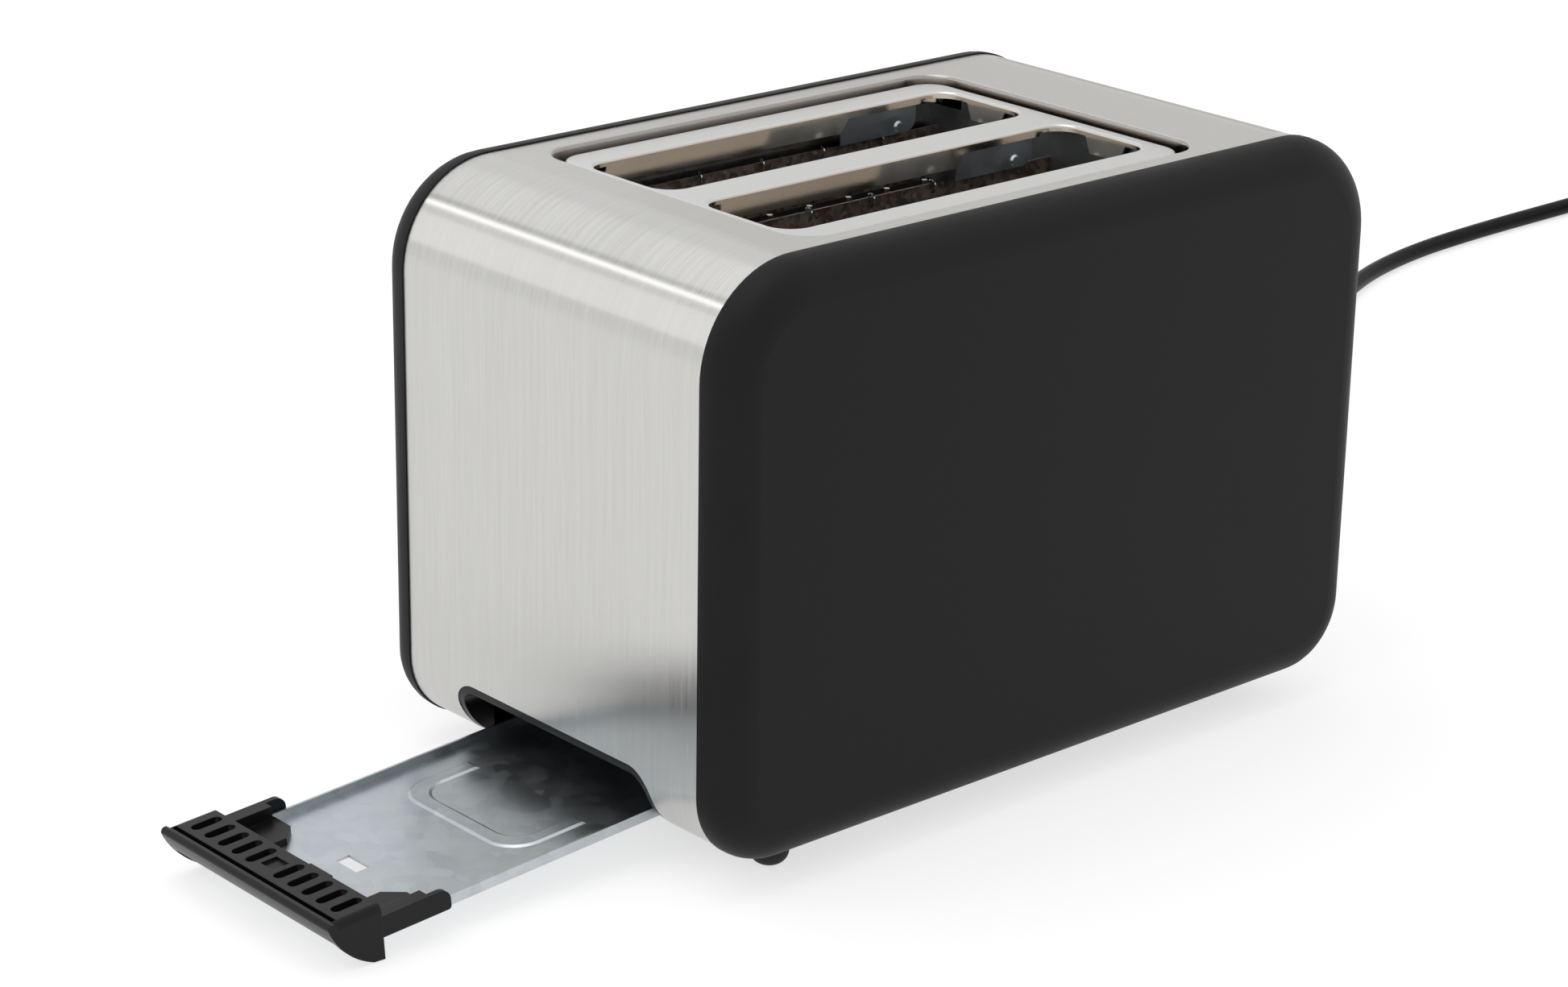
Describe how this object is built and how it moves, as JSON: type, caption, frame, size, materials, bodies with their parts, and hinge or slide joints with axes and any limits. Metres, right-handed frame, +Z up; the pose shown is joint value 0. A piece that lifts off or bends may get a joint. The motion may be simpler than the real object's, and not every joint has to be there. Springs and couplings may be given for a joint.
{
  "type": "pop up toaster",
  "caption": "Two-slice pop-up toaster with a wrapped steel band, matte side panels and a pull-out crumb tray.",
  "frame": {"origin": "on the table under the middle of the whole object's box, cord left out, with the crumb tray pulled out", "axes": "+X along the body's length towards the controls, -X towards the crumb tray, +Y across to the far side panel, +Z up"},
  "size_m": [0.9988, 0.3133, 0.1875],
  "materials": {
    "brushed_steel_band": "satin, brushed along the wrap",
    "satin_plate": "fine satin with polished flanges",
    "soft_black": "soft-touch matte",
    "black_moulding": "fine textured satin",
    "galvanised_sheet": "galvanised, faint spangle",
    "bright_sheet": "bright rolled",
    "mica": "speckled mica sheet",
    "resistance_ribbon": "oxidised nickel-chrome",
    "plated_wire": "bright plated wire",
    "control_plastic": "semi-gloss",
    "rubber": "matte",
    "cord_sheath": "smooth flexible sheath",
    "plated_pin": "nickel-plated brass",
    "circuit_laminate": "phenolic laminate",
    "component_plastic": "moulded",
    "copper_winding": "enamelled copper wire",
    "light_pipe": "translucent amber",
    "lead_insulation": "flexible insulation"
  },
  "bodies": {
    "housing": {"outer_shell": "brushed_steel_band", "slot_plate": "satin_plate", "near_side_panel": "soft_black", "far_side_panel": "soft_black", "base": "black_moulding", "base_screws": "bright_sheet", "rubber_feet": "rubber", "tray_surround": "black_moulding", "tray_end_plate": "galvanised_sheet", "control_end_plate": "galvanised_sheet", "near_reflector": "bright_sheet", "slot_end_sheets": "galvanised_sheet", "far_reflector": "bright_sheet", "near_heater_board": "mica", "centre_heater_board": "mica", "far_heater_board": "mica", "near_heater_ribbons": "resistance_ribbon", "centre_heater_ribbons": "resistance_ribbon", "far_heater_ribbons": "resistance_ribbon", "guide_rod": "plated_wire", "rod_top_bracket": "galvanised_sheet", "rod_bottom_bracket": "galvanised_sheet", "return_spring": "plated_wire", "magnet_core": "bright_sheet", "magnet_coil": "copper_winding", "control_panel": "control_plastic", "button_switches": "component_plastic", "indicator_lights": "light_pipe", "dial_potentiometer": "component_plastic", "circuit_board": "circuit_laminate", "board_components": "component_plastic", "terminal_block": "component_plastic", "lead_wires": "lead_insulation", "near_tray_rail": "galvanised_sheet", "far_tray_rail": "galvanised_sheet", "cord_gland": "rubber", "power_cord": "cord_sheath", "cord_coil": "cord_sheath", "cord_tail": "cord_sheath", "power_plug": "black_moulding", "plug_pins": "plated_pin"},
    "crumb_tray": {"crumb_tray": "galvanised_sheet", "tray_handle": "black_moulding"},
    "lift": {"near_bread_carrier": "bright_sheet", "far_bread_carrier": "bright_sheet", "carriage": "galvanised_sheet", "latch_armature": "bright_sheet", "lever_knob": "control_plastic"},
    "near_outer_guide": {"near_outer_guide": "plated_wire"},
    "near_inner_guide": {"near_inner_guide": "plated_wire"},
    "far_inner_guide": {"far_inner_guide": "plated_wire"},
    "far_outer_guide": {"far_outer_guide": "plated_wire"},
    "browning_dial": {"browning_dial": "control_plastic"},
    "cancel_button": {"cancel_button": "control_plastic"},
    "reheat_button": {"reheat_button": "control_plastic"},
    "defrost_button": {"defrost_button": "control_plastic"}
  },
  "joints": [
    {"name": "crumb_tray_slide", "type": "slide", "parent": "housing", "child": "crumb_tray", "axis": [0.9976, 0, 0.0698], "range_m": [0, 0.105]},
    {"name": "lever_slide", "type": "slide", "parent": "housing", "child": "lift", "axis": [0, 0, -1], "range_m": [0, 0.075], "stiffness_N_per_m": 60, "springref_m": -0.06, "deforming": ["return_spring"]},
    {"name": "near_outer_guide_slide", "type": "slide", "parent": "housing", "child": "near_outer_guide", "axis": [0, 1, 0], "range_m": [0, 0.0076]},
    {"name": "near_inner_guide_slide", "type": "slide", "parent": "housing", "child": "near_inner_guide", "axis": [0, -1, 0], "range_m": [0, 0.0076]},
    {"name": "far_inner_guide_slide", "type": "slide", "parent": "housing", "child": "far_inner_guide", "axis": [0, 1, 0], "range_m": [0, 0.0076]},
    {"name": "far_outer_guide_slide", "type": "slide", "parent": "housing", "child": "far_outer_guide", "axis": [0, -1, 0], "range_m": [0, 0.0076]},
    {"name": "browning_dial_turn", "type": "hinge", "parent": "housing", "child": "browning_dial", "pos_m": [0.1711, 0.02, 0.058], "axis": [1, 0, 0], "range_deg": [-135, 135]},
    {"name": "cancel_button_press", "type": "slide", "parent": "housing", "child": "cancel_button", "axis": [-1, 0, 0], "range_m": [0, 0.002], "stiffness_N_per_m": 800, "springref_m": -0.001},
    {"name": "reheat_button_press", "type": "slide", "parent": "housing", "child": "reheat_button", "axis": [-1, 0, 0], "range_m": [0, 0.002], "stiffness_N_per_m": 800, "springref_m": -0.001},
    {"name": "defrost_button_press", "type": "slide", "parent": "housing", "child": "defrost_button", "axis": [-1, 0, 0], "range_m": [0, 0.002], "stiffness_N_per_m": 800, "springref_m": -0.001}
  ],
  "couplings": [
    {"joint": "near_outer_guide_slide", "follows": "lever_slide", "ratio": 0.1},
    {"joint": "near_inner_guide_slide", "follows": "lever_slide", "ratio": 0.1},
    {"joint": "far_inner_guide_slide", "follows": "lever_slide", "ratio": 0.1},
    {"joint": "far_outer_guide_slide", "follows": "lever_slide", "ratio": 0.1}
  ]
}
